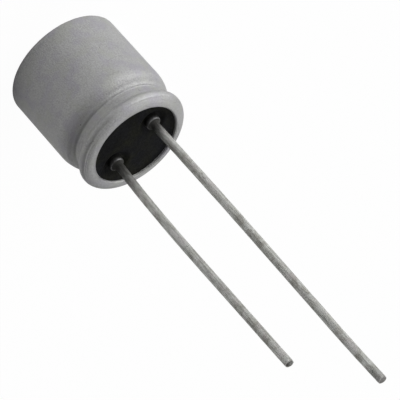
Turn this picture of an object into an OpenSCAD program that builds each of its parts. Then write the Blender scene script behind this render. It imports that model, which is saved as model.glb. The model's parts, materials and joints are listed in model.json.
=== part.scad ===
// Radial electrolytic capacitor, standing on its closed end with both leads up.
// The origin is the centre of the closed end, +Z runs along the leads, and the
// leads lie on the X axis with the long anode lead on the -X side.

/* [Can] */
// Outside diameter of the can
can_d = 8; // [7:0.1:10]
// Height from the closed end to the top of the rim
can_h = 8.1; // [7:0.1:16]
// Thickness of the aluminium wall
can_wall = 0.3; // [0.2:0.01:0.36]
// Outside radius of the corner at the closed end
corner_r = 0.12; // [0.1:0.01:0.3]
// Inside radius of the corner at the closed end
corner_in_r = 0.35; // [0.1:0.01:0.5]

/* [Groove and rim] */
// Height of the rolled neck, from the start of the shoulder to the rim's top
neck_h = 2.95; // [2.8:0.05:3.6]
// Radius of the shoulder that leads into the groove
shoulder_r = 2.3; // [2:0.1:3]
// Depth of the groove below the can's side
groove_depth = 0.5; // [0.4:0.01:0.6]
// Slope at which the can turns from the shoulder into the groove
groove_angle = 57; // [50:1:64]
// Inside radius of the bend between the shoulder and the groove
step_fold_r = 0.04; // [0.03:0.01:0.06]
// Radius of the two corners of the groove
groove_r = 0.13; // [0.1:0.01:0.16]
// Angle of the wall under the rim
rim_under_angle = 70; // [58:1:80]
// Height of the rim above its widest ring
rim_h = 0.56; // [0.52:0.01:0.66]
// How far the rim stays inside the can's side
rim_inset = 0.1; // [0.08:0.01:0.12]
// Width of the rolled rim, from its widest ring to its curled edge
rim_w = 0.87; // [0.85:0.01:1.04]
// Inside radius of the fold at the rim's widest ring
rim_fold_r = 0.04; // [0.03:0.01:0.05]
// Inside radius of the turn above the fold
rim_turn_r = 0.12; // [0.1:0.01:0.15]

/* [Rubber bung] */
// Thickness of the bung at its middle
bung_t = 2.3; // [2:0.05:2.8]
// How far the bung's middle lies below the rim's top
bung_drop = 0.25; // [0.2:0.01:0.28]
// Width of the rubber swelling along the rim's edge
swell_w = 0.35; // [0.2:0.01:0.42]
// How far the swelling's top lies below the rim's top
swell_drop = 0.18; // [0.12:0.01:0.2]
// Diameter of the recess around each stem
recess_d = 2; // [1.4:0.05:2.1]
// Depth of the recess around each stem
recess_depth = 0.35; // [0.2:0.01:0.5]

/* [Leads] */
// Distance between the two leads
lead_pitch = 3.5; // [2.9:0.1:4.2]
// Diameter of the lead wire
lead_d = 0.6; // [0.5:0.01:0.72]
// Length of the anode lead above the rim
anode_lead_l = 23.5; // [10:0.1:30]
// Length of the cathode lead above the rim
cathode_lead_l = 18.3; // [8:0.1:28]
// Length of the bevel that the cutter leaves on a lead's end
cut_bevel = 0.06; // [0.04:0.01:0.08]
// Diameter of the weld bead at the foot of a lead
bead_d = 0.76; // [0.7:0.01:0.78]
// Diameter of the lead's melted end, sunk in the stem
melt_d = 0.4; // [0.3:0.01:0.5]
// Height of the weld bead
bead_h = 0.06; // [0.04:0.01:0.07]

/* [Tabs] */
// Diameter of the round aluminium stem that is welded to the lead
stem_d = 1; // [0.83:0.01:1.2]
// How far the stem's end lies below the rim's top
stem_drop = 0.08; // [0.08:0.01:0.2]
// Radius of the stem's rounded edge
stem_round = 0.1; // [0.02:0.01:0.1]
// Depth to which the lead is sunk in the stem by the weld
weld_depth = 0.3; // [0.2:0.01:0.4]
// Width of the flattened tab inside the winding
tab_w = 1.4; // [1.1:0.05:1.7]
// Thickness of the flattened tab
tab_t = 0.25; // [0.2:0.01:0.3]
// Length over which the stem flattens into the tab
tab_taper = 0.4; // [0.3:0.05:0.5]
// Diameter of the holes left by the stitching needle
stitch_d = 0.4; // [0.3:0.01:0.5]
// Number of stitches on each tab
stitches = 3; // [2:1:4]

/* [Winding] */
// Diameter of the empty core left by the winding pin
core_d = 1.2; // [1:0.1:1.5]
// Thickness of the etched anode foil
anode_foil_t = 0.1; // [0.08:0.005:0.12]
// Thickness of the cathode foil
cathode_foil_t = 0.05; // [0.04:0.005:0.06]
// Thickness of each paper separator
paper_t = 0.05; // [0.04:0.005:0.06]
// How far the paper stands past the foils at both ends
paper_overhang = 0.25; // [0.2:0.01:0.4]
// Thickness of the tape round the winding
tape_t = 0.06; // [0.05:0.005:0.08]
// Width of the tape
tape_w = 2.6; // [2:0.1:3.2]

/* [Fits] */
// Clearance of the bung in the can, the stem in the bung and the lead in its weld
seat_gap = 0.01; // [0.005:0.001:0.015]
// Clearance between the layers of the winding
layer_gap = 0.005; // [0.004:0.001:0.008]
// Clearance round a tab, in the winding and below the bung
tab_gap = 0.03; // [0.02:0.005:0.04]
// Clearance between the winding and the can's side
winding_gap = 0.08; // [0.06:0.01:0.12]
// Clearance between the winding and the closed end
floor_gap = 0.05; // [0.03:0.01:0.08]
// Free height between the winding and the round part of the stems
head_gap = 0.05; // [0.03:0.01:0.1]

/* [Hidden] */
$fn = 96;

aluminium = [0.72, 0.72, 0.73];
rubber = [0.09, 0.09, 0.08];
tinned = [0.62, 0.62, 0.6];
etched = [0.55, 0.56, 0.58];
plain_foil = [0.78, 0.78, 0.79];
paper = [0.86, 0.8, 0.66];
tape = [0.8, 0.66, 0.3];

arc_step = 10;      // degrees between the points of a rounded corner
over = 1;           // how far a cutting tool runs past what it cuts
land_w = 0.09;      // flat stretch of the rim's top, between its crown and its edge

can_r = can_d / 2;
bore_r = can_r - can_wall;
lead_r = lead_d / 2;
lead_x = lead_pitch / 2;
stem_r = stem_d / 2;

// The can's section, from the closed end up. Every bend keeps the wall's thickness,
// so the outline at a depth below the outer skin bends about the same centres.
shoulder_z = can_h - neck_h;
floor_r = can_r - groove_depth;
rim_r = can_r - rim_inset;
rim_z = can_h - rim_h;
step_r = can_wall + step_fold_r;
fold_r = can_wall + rim_fold_r;
turn_r = can_wall + rim_turn_r;
edge_r = rim_r - rim_w;

// The shoulder's arc ends at the angle from which a tight bend to groove_angle comes down
// to just where the groove's lower corner begins.
shoulder_angle = acos((shoulder_r - groove_depth + groove_r * (1 - cos(groove_angle))
                       - step_r * cos(groove_angle)) / (shoulder_r - step_r));
step_centre = [can_r - shoulder_r, shoulder_z]
              + (shoulder_r - step_r) * [cos(shoulder_angle), sin(shoulder_angle)];
floor_low_z = step_centre[1] + (step_r + groove_r) * sin(groove_angle);

// The wall under the rim runs from the groove's upper corner to the fold.
under_in_r = floor_r + groove_r * (1 - cos(rim_under_angle));
under_out_r = rim_r - fold_r * (1 - cos(rim_under_angle));
under_out_z = rim_z - fold_r * sin(rim_under_angle);
under_in_z = under_out_z - (under_out_r - under_in_r) / tan(rim_under_angle);
floor_high_z = under_in_z - groove_r * sin(rim_under_angle);

// The crown is the wide arc from the turn to the rim's flat top. Its radius and the
// angle where it takes over from the turn follow from the rim's height and width.
crown_w = rim_w - land_w;
crown_angle = crown_angle_for(crown_w - turn_r, rim_h - turn_r);
crown_r = turn_r + (crown_w - turn_r) / cos(crown_angle);

// Bearing of the crown's start: both arcs share a normal there, so the gap between
// their centres, (across, down), lies along that normal.
function crown_angle_for(across, rise) =
    90 - 2 * atan(rise / across);

function arc(centre, r, from, to) =
    let (n = max(2, ceil(abs(to - from) / arc_step)))
    [for (i = [0:n]) let (a = from + (to - from) * i / n) centre + r * [cos(a), sin(a)]];

function neck_outline(depth) = concat(
    arc([can_r - shoulder_r, shoulder_z], shoulder_r - depth, 0, shoulder_angle),
    arc(step_centre, step_r - depth, shoulder_angle, groove_angle),
    arc([floor_r + groove_r, floor_low_z], groove_r + depth, 180 + groove_angle, 180),
    arc([floor_r + groove_r, floor_high_z], groove_r + depth, 180, 180 - rim_under_angle),
    arc([rim_r - fold_r, rim_z], fold_r - depth, -rim_under_angle, 0),
    arc([rim_r - turn_r, rim_z], turn_r - depth, 0, crown_angle),
    arc([edge_r + land_w, can_h - crown_r], crown_r - depth, crown_angle, 90),
    [[edge_r, can_h - depth]]);

function reversed(list) = [for (i = [len(list) - 1:-1:0]) list[i]];

// Bung
bung_top_z = can_h - bung_drop;
bung_low_z = bung_top_z - bung_t;
swell_z = can_h - swell_drop;
recess_z = bung_top_z - recess_depth;

// Stems, which flatten into tabs just below the bung
stem_top_z = can_h - stem_drop;
stem_low_z = bung_low_z - tab_gap - tab_taper;

// Heights in the winding. It stands where the can's inside corner clears its edge.
side_gap = min(winding_gap, corner_in_r);
corner_rise = corner_in_r - sqrt(pow(corner_in_r, 2) - pow(corner_in_r - side_gap, 2));
paper_low_z = can_wall + corner_rise + floor_gap;
paper_high_z = stem_low_z - head_gap;
foil_low_z = paper_low_z + paper_overhang;
foil_high_z = paper_high_z - paper_overhang;
tab_low_z = foil_low_z + paper_overhang;

// The winding is laid out by the angle turned since the anode tab, which is 0 there.
// At that angle the anode foil lies on the inner face of its tab.
anode_bearing = 180;    // where the anode tab stands, seen from above
past_foils = 370;       // how far the inner separator runs on past the foils' ends
tape_turn = 350;        // the last stretch of the winding, which the tape covers
corner_turn = 3 / 8;    // turns made, at the least, from one tab to the other's corner
winding_pitch = anode_foil_t + cathode_foil_t + 2 * paper_t + 4 * layer_gap;
tab_in_x = lead_x - tab_t / 2 - layer_gap;
anode_offset = paper_t + layer_gap;
outer_paper_offset = anode_offset + anode_foil_t + layer_gap;
cathode_offset = outer_paper_offset + paper_t + layer_gap;
start_r = tab_in_x - anode_foil_t - anode_offset;

// The first layer over the cathode tab would start inside the tab's inner face by up to
// this much: the layers are half a pitch out there, and wind in further to its corner.
cathode_slack = max(0, anode_foil_t + anode_offset - winding_pitch * corner_turn);

// Outside a tab the layers run straight over its two corners and back to the round.
tab_out_x = lead_x + tab_t / 2 + tab_gap + cathode_slack;
tab_corner = [tab_out_x, tab_w / 2 + tab_gap];
corner_angle = atan2(tab_corner[1], tab_corner[0]);
meet_angle = corner_angle + acos(tab_in_x / norm(tab_corner));
most_lift = norm(tab_corner) - tab_in_x;

winding_r = bore_r - winding_gap;
papers_from = -360 * (start_r - core_d / 2) / winding_pitch;
foils_from = papers_from + 180;
papers_to = 360 * (winding_r - tape_t - layer_gap - most_lift - paper_t - start_r) / winding_pitch;
foils_to = papers_to - past_foils;
tape_from = papers_to - tape_turn;

// The angles at which a layer has a point: the tabs' corners and where the straights end,
// with a few between. Both halves of a turn are alike. A strip starts and ends at such an
// angle too, so that its last flat face lies along the layers beside it.
round_steps = 5;
half_turn = concat(
    [0, corner_angle / 2, corner_angle, (corner_angle + meet_angle) / 2],
    [for (i = [0:round_steps]) meet_angle + (180 - 2 * meet_angle) * i / round_steps],
    [180 - (corner_angle + meet_angle) / 2, 180 - corner_angle, 180 - corner_angle / 2]);

// How far a layer is pushed out at an angle from a tab that lies under it
function lift(a) =
    let (off = abs((a % 360 + 540) % 360 - 180))
    off < corner_angle ? tab_out_x / cos(off) - tab_in_x :
    off < meet_angle ? tab_in_x / cos(meet_angle - off) - tab_in_x : 0;

// Radius of a layer's face. The anode tab lies under the layers from anode_lift_from on,
// and the cathode tab, half a turn before it, under every layer from angle 0 on.
function face_r(a, offset, anode_lift_from) =
    start_r + winding_pitch * a / 360 + offset
    + (a > anode_lift_from ? lift(a) : 0)
    + (a > 0 ? lift(a - 180) : 0);

function layer_angles(from, to) =
    [for (half = [floor(from / 180):ceil(to / 180)], a = half_turn)
        if (half * 180 + a >= from && half * 180 + a <= to) half * 180 + a];

function layer_face(angles, offset, anode_lift_from) =
    [for (a = angles) face_r(a, offset, anode_lift_from) * [cos(a), sin(a)]];

module can() {
    skin = concat(
        [[0, 0]],
        arc([can_r - corner_r, corner_r], corner_r, -90, 0),
        neck_outline(0));
    lining = concat(
        [[0, can_wall]],
        arc([bore_r - corner_in_r, can_wall + corner_in_r], corner_in_r, -90, 0),
        neck_outline(can_wall));
    color(aluminium)
        rotate_extrude()
            polygon(concat(skin, reversed(lining)));
}

// The bung fills the neck, so its side is the can's lining less the clearance.
module rubber_bung() {
    depth = can_wall + seat_gap;
    neck = [for (p = neck_outline(depth)) if (p[1] > bung_low_z) p];
    low_a = asin((bung_low_z - shoulder_z) / (shoulder_r - depth));
    low_r = can_r - shoulder_r + (shoulder_r - depth) * cos(low_a);
    exposed_r = edge_r - seat_gap;
    outline = concat(
        [[0, bung_low_z], [low_r, bung_low_z]],
        [for (i = [0:len(neck) - 2]) neck[i]],
        [[exposed_r, can_h - depth], [exposed_r, swell_z]],
        [for (t = [0.25:0.25:1])
            [exposed_r - swell_w * t, swell_z - (swell_z - bung_top_z) * (1 - cos(180 * t)) / 2]],
        [[0, bung_top_z]]);
    color(rubber)
        difference() {
            rotate_extrude()
                polygon(outline);
            for (side = [-1, 1])
                translate([side * lead_x, 0, 0])
                    stem_hole();
        }
}

module stem_hole() {
    translate([0, 0, bung_low_z - over])
        cylinder(r = stem_r + seat_gap, h = bung_t + 2 * over);
    translate([0, 0, recess_z])
        cylinder(d = recess_d, h = recess_depth + over);
}

// A wire with its melted end sunk in the stem and a weld bead round its foot
module lead(length) {
    foot_z = stem_top_z + seat_gap;
    top_z = can_h + length;
    color(tinned) {
        translate([0, 0, foot_z - weld_depth])
            cylinder(d1 = melt_d, d2 = lead_d, h = weld_depth);
        translate([0, 0, foot_z])
            cylinder(r = lead_r, h = top_z - cut_bevel - foot_z);
        translate([0, 0, foot_z])
            cylinder(d1 = bead_d, d2 = lead_d, h = bead_h);
        translate([0, 0, top_z - cut_bevel])
            cylinder(r1 = lead_r, r2 = lead_r - cut_bevel, h = cut_bevel);
    }
}

module anode_lead() {
    translate([-lead_x, 0, 0])
        lead(anode_lead_l);
}

module cathode_lead() {
    translate([lead_x, 0, 0])
        lead(cathode_lead_l);
}

// A round stem with a rounded edge, pressed flat below the bung and stitched to the foil
module tab() {
    stem = concat(
        [[0, stem_low_z], [stem_r, stem_low_z]],
        arc([stem_r - stem_round, stem_top_z - stem_round], stem_round, 0, 90),
        [[lead_r + seat_gap, stem_top_z], [melt_d / 2 + seat_gap, stem_top_z - weld_depth],
         [0, stem_top_z - weld_depth]]);
    color(plain_foil)
        difference() {
            union() {
                difference() {
                    rotate_extrude()
                        polygon(stem);
                    for (side = [0, 180])
                        rotate([0, 0, side])
                            flattening_cut();
                }
                translate([-tab_t / 2, -tab_w / 2, tab_low_z])
                    cube([tab_t, tab_w, stem_low_z + tab_taper - tab_low_z]);
            }
            for (i = [1:stitches])
                translate([0, 0, foil_low_z + (foil_high_z - foil_low_z) * i / (stitches + 1)])
                    rotate([0, 90, 0])
                        cylinder(d = stitch_d, h = 2 * over, center = true);
        }
}

// Takes one side off the stem's foot, down to the tab's face
module flattening_cut() {
    translate([0, stem_r + over, 0])
        rotate([90, 0, 0])
            linear_extrude(2 * (stem_r + over))
                polygon([[tab_t / 2, stem_low_z - over],
                         [tab_t / 2, stem_low_z],
                         [stem_r, stem_low_z + tab_taper],
                         [stem_r + over, stem_low_z + tab_taper],
                         [stem_r + over, stem_low_z - over]]);
}

module anode_tab() {
    translate([-lead_x, 0, 0])
        tab();
}

module cathode_tab() {
    translate([lead_x, 0, 0])
        tab();
}

// One strip of the winding: its inner and outer faces are spirals.
module wound_strip(from, to, offset, thickness, low_z, high_z, anode_lift_from) {
    angles = layer_angles(from, to);
    translate([0, 0, low_z])
        rotate([0, 0, anode_bearing])
            linear_extrude(high_z - low_z)
                polygon(concat(
                    layer_face(angles, offset, anode_lift_from),
                    reversed(layer_face(angles, offset + thickness, anode_lift_from))));
}

module inner_separator() {
    color(paper)
        wound_strip(papers_from, papers_to, 0, paper_t, paper_low_z, paper_high_z, 180);
}

module anode_foil() {
    color(etched)
        wound_strip(foils_from, foils_to, anode_offset, anode_foil_t,
                    foil_low_z, foil_high_z, 180);
}

module outer_separator() {
    color(paper)
        wound_strip(papers_from, foils_to, outer_paper_offset, paper_t,
                    paper_low_z, paper_high_z, -180);
}

module cathode_foil() {
    color(plain_foil)
        wound_strip(foils_from, foils_to, cathode_offset, cathode_foil_t,
                    foil_low_z, foil_high_z, -180);
}

module winding_tape() {
    middle_z = (paper_low_z + paper_high_z) / 2;
    color(tape)
        wound_strip(tape_from, papers_to, paper_t + layer_gap, tape_t,
                    middle_z - tape_w / 2, middle_z + tape_w / 2, 180);
}

can();
rubber_bung();
anode_lead();
cathode_lead();
anode_tab();
cathode_tab();
anode_foil();
cathode_foil();
inner_separator();
outer_separator();
winding_tape();
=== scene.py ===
"""Looks for a small radial electrolytic capacitor that stands on its closed end.

The frame is the part's own: the origin is the centre of the closed end, +Z runs along
the leads, and the long anode lead stands on the -X side. Sizes in the classes are in
millimetres, and a mesh is turned to metres where it is made.
"""

import json
import logging
import math
from collections.abc import Callable, Sequence
from dataclasses import dataclass, field
from enum import Enum

import bmesh
import bpy
from mathutils import Euler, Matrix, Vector, noise


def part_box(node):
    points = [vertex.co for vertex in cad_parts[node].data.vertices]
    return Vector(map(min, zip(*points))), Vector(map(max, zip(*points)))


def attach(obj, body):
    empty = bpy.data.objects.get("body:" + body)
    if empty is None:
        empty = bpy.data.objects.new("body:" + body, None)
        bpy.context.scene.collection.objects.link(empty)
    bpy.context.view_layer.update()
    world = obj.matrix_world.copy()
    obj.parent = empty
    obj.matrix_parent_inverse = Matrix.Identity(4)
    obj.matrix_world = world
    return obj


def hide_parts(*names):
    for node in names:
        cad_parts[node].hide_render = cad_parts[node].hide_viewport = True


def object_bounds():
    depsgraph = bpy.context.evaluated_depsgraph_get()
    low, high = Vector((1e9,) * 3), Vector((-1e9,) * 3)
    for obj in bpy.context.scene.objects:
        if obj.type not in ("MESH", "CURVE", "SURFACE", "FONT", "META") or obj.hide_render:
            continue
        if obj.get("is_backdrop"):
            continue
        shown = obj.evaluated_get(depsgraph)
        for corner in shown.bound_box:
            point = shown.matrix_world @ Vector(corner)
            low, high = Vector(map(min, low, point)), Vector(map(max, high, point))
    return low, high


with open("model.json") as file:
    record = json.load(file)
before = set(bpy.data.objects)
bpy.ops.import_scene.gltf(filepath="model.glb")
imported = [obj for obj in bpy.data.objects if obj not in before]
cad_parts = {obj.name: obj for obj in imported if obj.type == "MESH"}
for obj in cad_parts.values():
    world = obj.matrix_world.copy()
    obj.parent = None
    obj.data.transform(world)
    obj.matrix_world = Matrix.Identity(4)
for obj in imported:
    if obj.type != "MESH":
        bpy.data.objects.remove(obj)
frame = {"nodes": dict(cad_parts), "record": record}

LOG = logging.getLogger("capacitor")
MM = 0.001
BODY = "root"
# A smooth surface turns by this many degrees at most from face to face.
SHARP = 50.0
# Heights in mm that differ by less are the same.
ROUNDING = 1e-6
# The numbers that the meshes keep on their vertices for their finishes.
RUN = "run"
WELD = "weld"
CORE = "core"

Piece = bpy.types.Object
Mesh = bmesh.types.BMesh
Ring = list[bmesh.types.BMVert]
Marks = dict[str, bmesh.types.BMLayerItem]
Point = tuple[float, float]
Colour = tuple[float, float, float]
Socket = bpy.types.NodeSocket
# The sockets of a surface's colour, roughness and height.
Coat = tuple[Socket, Socket, Socket]
# A mask, its colour or its level of the main colour, and how much covers where it is 0 and 1.
Layer = tuple[Socket, Colour | float, float, float]


class Slot(Enum):
    """The record's material slots that the new pieces take their finish from."""

    CAN = "can_aluminium"
    BUNG = "bung_rubber"
    WIRE = "tinned_wire"


class Effect(Enum):
    """The surface effects that several finishes share."""

    CLOUDS = "clouds"
    STREAKS = "streaks"
    SPECKS = "specks"
    SCRATCHES = "scratches"


class Cut(Enum):
    """How the end of a lead was cut off."""

    SQUARE = "square"
    SHEARED = "sheared"


@dataclass(frozen=True)
class CutEnd:
    """How a cut end looks: its tilt in wire radii, and how dark its core is and how unevenly."""

    tilt: float
    core: float
    core_swing: float


CUT_ENDS = {
    Cut.SQUARE: CutEnd(tilt=0.06, core=0.35, core_swing=0.0),
    Cut.SHEARED: CutEnd(tilt=0.14, core=0.7, core_swing=0.3),
}


def arc(centre: Point, radius: float, start: float, end: float, step: float = 4.0) -> list[Point]:
    """Gives points along a round corner.

    Args:
        centre: the corner's centre, (radius, height) in mm.
        radius: the corner's radius in mm.
        start: the first bearing in degrees.
        end: the last bearing in degrees.
        step: the most degrees between two points.

    Returns:
        The points, both ends included.
    """
    count = max(2, math.ceil(abs(end - start) / step))
    bearings = [math.radians(start + (end - start) * i / count) for i in range(count + 1)]
    return [(centre[0] + radius * math.cos(a), centre[1] + radius * math.sin(a)) for a in bearings]


def line(start: Point, end: Point, step: float) -> list[Point]:
    """Gives evenly spaced points between two points.

    Args:
        start: the point before the first one given.
        end: the last point given.
        step: the most mm between two points.

    Returns:
        The points after start, end included.
    """
    count = max(1, math.ceil(math.dist(start, end) / step))
    return [
        (start[0] + (end[0] - start[0]) * i / count, start[1] + (end[1] - start[1]) * i / count)
        for i in range(1, count + 1)
    ]


def smooth(low: float, high: float, value: float) -> float:
    """Rises smoothly from 0 at low to 1 at high."""
    t = min(1.0, max(0.0, (value - low) / (high - low)))
    return t * t * (3 - 2 * t)


def curve_at(points: Sequence[Point], place: float) -> float:
    """Gives the height of a smooth curve through a few points.

    Args:
        points: (place, height) points in order of place.
        place: where the height is wanted, between the first and the last point.

    Returns:
        The curve's height there.
    """
    last = len(points) - 1
    k = min(last - 1, max(0, sum(p[0] <= place for p in points) - 1))
    (x0, y0), (x1, y1) = points[k], points[k + 1]
    before = points[max(0, k - 1)]
    after = points[min(last, k + 2)]
    gap = x1 - x0
    leave = (y1 - before[1]) / (x1 - before[0]) * gap
    arrive = (after[1] - y0) / (after[0] - x0) * gap
    t = min(1.0, max(0.0, (place - x0) / gap))
    rise = y0 * (1 + 2 * t) * (1 - t) ** 2 + y1 * t ** 2 * (3 - 2 * t)
    return rise + leave * t * (1 - t) ** 2 - arrive * t ** 2 * (1 - t)


def spot(bearing: float, radius: float, height: float, x: float = 0.0) -> Vector:
    """Gives the point at a bearing and a radius round an upright axis at x, in metres."""
    return Vector(((x + radius * math.cos(bearing)) * MM, radius * math.sin(bearing) * MM, height * MM))


def join_rings(mesh: Mesh, rings: list[Ring]) -> None:
    """Fills the bands between rings, of which the first and the last may be a single point.

    Args:
        mesh: the mesh that holds the rings.
        rings: each ring's vertices, in order.
    """
    for low, high in zip(rings, rings[1:]):
        count = max(len(low), len(high))
        for i in range(count):
            j = (i + 1) % count
            if len(low) == 1:
                corners = (low[0], high[j], high[i])
            elif len(high) == 1:
                corners = (low[i], low[j], high[0])
            else:
                corners = (low[i], low[j], high[j], high[i])
            mesh.faces.new(corners)


def make_object(mesh: Mesh, name: str, sharp: float = SHARP) -> Piece:
    """Turns a finished mesh into a smooth object in the scene.

    Args:
        mesh: the mesh, which is freed.
        name: the piece's name.
        sharp: edges that turn by more degrees than this stay sharp.

    Returns:
        The new object.
    """
    bmesh.ops.recalc_face_normals(mesh, faces=mesh.faces)
    data = bpy.data.meshes.new(name)
    mesh.to_mesh(data)
    mesh.free()
    data.shade_smooth()
    data.set_sharp_from_angle(angle=math.radians(sharp))
    made = bpy.data.objects.new(name, data)
    bpy.context.scene.collection.objects.link(made)
    return made


def lathe(name: str, outline: Sequence[Point], faces: int,
          place: Callable[[float, float, float], Point]) -> Piece:
    """Turns a closed outline round the Z axis into a solid.

    Each vertex keeps how far along the outline it lies, in mm, for the ring-shaped grain.

    Args:
        name: the piece's name.
        outline: (radius, height) points in mm, from the axis out and back to the axis.
        faces: how many faces go round.
        place: takes a bearing in radians, a radius and a height, and gives the two moved.

    Returns:
        The new object.
    """
    mesh = bmesh.new()
    run_layer = mesh.verts.layers.float.new(RUN)
    rings = []
    run = 0.0
    for last, (radius, height) in zip([outline[0], *outline], outline):
        run += math.dist(last, (radius, height))
        ring = []
        for i in range(1 if radius == 0 else faces):
            bearing = math.tau * i / faces
            vertex = mesh.verts.new(spot(bearing, *place(bearing, radius, height)))
            vertex[run_layer] = run
            ring.append(vertex)
        rings.append(ring)
    join_rings(mesh, rings)
    return make_object(mesh, name)


class Graph:
    """Adds and joins the nodes of one material, world or node group."""

    def __init__(self, tree: bpy.types.NodeTree) -> None:
        """Keeps the tree that the nodes go into."""
        self.tree = tree

    def add(self, kind: str, inputs: dict[str | int, object] | None = None,
            **settings: object) -> bpy.types.Node:
        """Adds a node.

        Args:
            kind: the node's type, without the word ShaderNode.
            inputs: what goes into its sockets, by their names or numbers.
            settings: the node's own options by name.

        Returns:
            The new node.
        """
        node = self.tree.nodes.new("ShaderNode" + kind)
        for name, value in settings.items():
            setattr(node, name, value)
        for key, source in (inputs or {}).items():
            self.feed(node.inputs[key], source)
        return node

    def feed(self, target: Socket, source: object) -> None:
        """Joins a socket to another, or sets it to a constant.

        Args:
            target: the input socket.
            source: an output socket, a number, a vector or a colour.
        """
        if isinstance(source, Socket):
            self.tree.links.new(source, target)
        elif isinstance(source, tuple) and target.type == "RGBA":
            target.default_value = (*source, 1.0)
        else:
            target.default_value = source

    def math(self, operation: str, a: object, b: object = 0.0, clamp: bool = False) -> Socket:
        """Works out one sum of two numbers or sockets, which clamp keeps between 0 and 1."""
        return self.add("Math", {0: a, 1: b}, operation=operation, use_clamp=clamp).outputs[0]

    def rise(self, value: object, low: object, high: object) -> Socket:
        """Turns a value into a mask that rises smoothly from 0 at low to 1 at high."""
        inputs = {"Value": value, "From Min": low, "From Max": high}
        return self.add("MapRange", inputs, interpolation_type="SMOOTHSTEP").outputs["Result"]

    def span(self, value: object, low: float, high: float) -> Socket:
        """Spreads a mask from 0 to 1 over low to high."""
        return self.add("MapRange", {"Value": value, "To Min": low, "To Max": high}).outputs["Result"]

    def pick(self, switch: object, on: object, off: object) -> Socket:
        """Gives the first number where the switch is 1, and the second where it is 0."""
        rest = self.math("MULTIPLY", self.math("SUBTRACT", 1.0, switch), off)
        return self.math("ADD", self.math("MULTIPLY", switch, on), rest)

    def mix(self, factor: object, a: object, b: object) -> Socket:
        """Mixes two colours, with as much of the second as the factor says."""
        return self.add("Mix", {0: factor, 6: a, 7: b}, data_type="RGBA").outputs[2]

    def wander(self, place: Socket, scale: float = 1.0, detail: object = 2.0, rough: float = 0.5) -> Socket:
        """Gives smooth noise, about 0.5 on average, at a place in its own space."""
        inputs = {"Vector": place, "Scale": scale, "Detail": detail, "Roughness": rough}
        return self.add("TexNoise", inputs).outputs[0]

    def effect(self, effect: Effect, **values: object) -> Socket:
        """Places one of the shared effects, with its inputs by name, and gives its Value."""
        return self.add("Group", values, node_tree=bpy.data.node_groups[effect.value]).outputs["Value"]

    def attribute(self, name: str) -> Socket:
        """Reads a number kept on the mesh's vertices."""
        return self.add("Attribute", attribute_name=name).outputs["Fac"]

    def place(self) -> Socket:
        """Gives the surface's place in the part, in metres."""
        return self.add("TexCoord").outputs["Object"]

    def height(self) -> Socket:
        """Gives how high the surface lies above the closed end, in mm."""
        return self.math("DIVIDE", self.add("SeparateXYZ", {0: self.place()}).outputs[2], MM)

    def reach(self) -> Socket:
        """Gives the surface's distance from the part's axis in mm.

        Returns:
            The distance's socket.
        """
        flat = self.add("VectorMath", {0: self.place(), 1: (1.0, 1.0, 0.0)}, operation="MULTIPLY")
        length = self.add("VectorMath", {0: flat.outputs[0]}, operation="LENGTH")
        return self.math("DIVIDE", length.outputs["Value"], MM)


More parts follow.
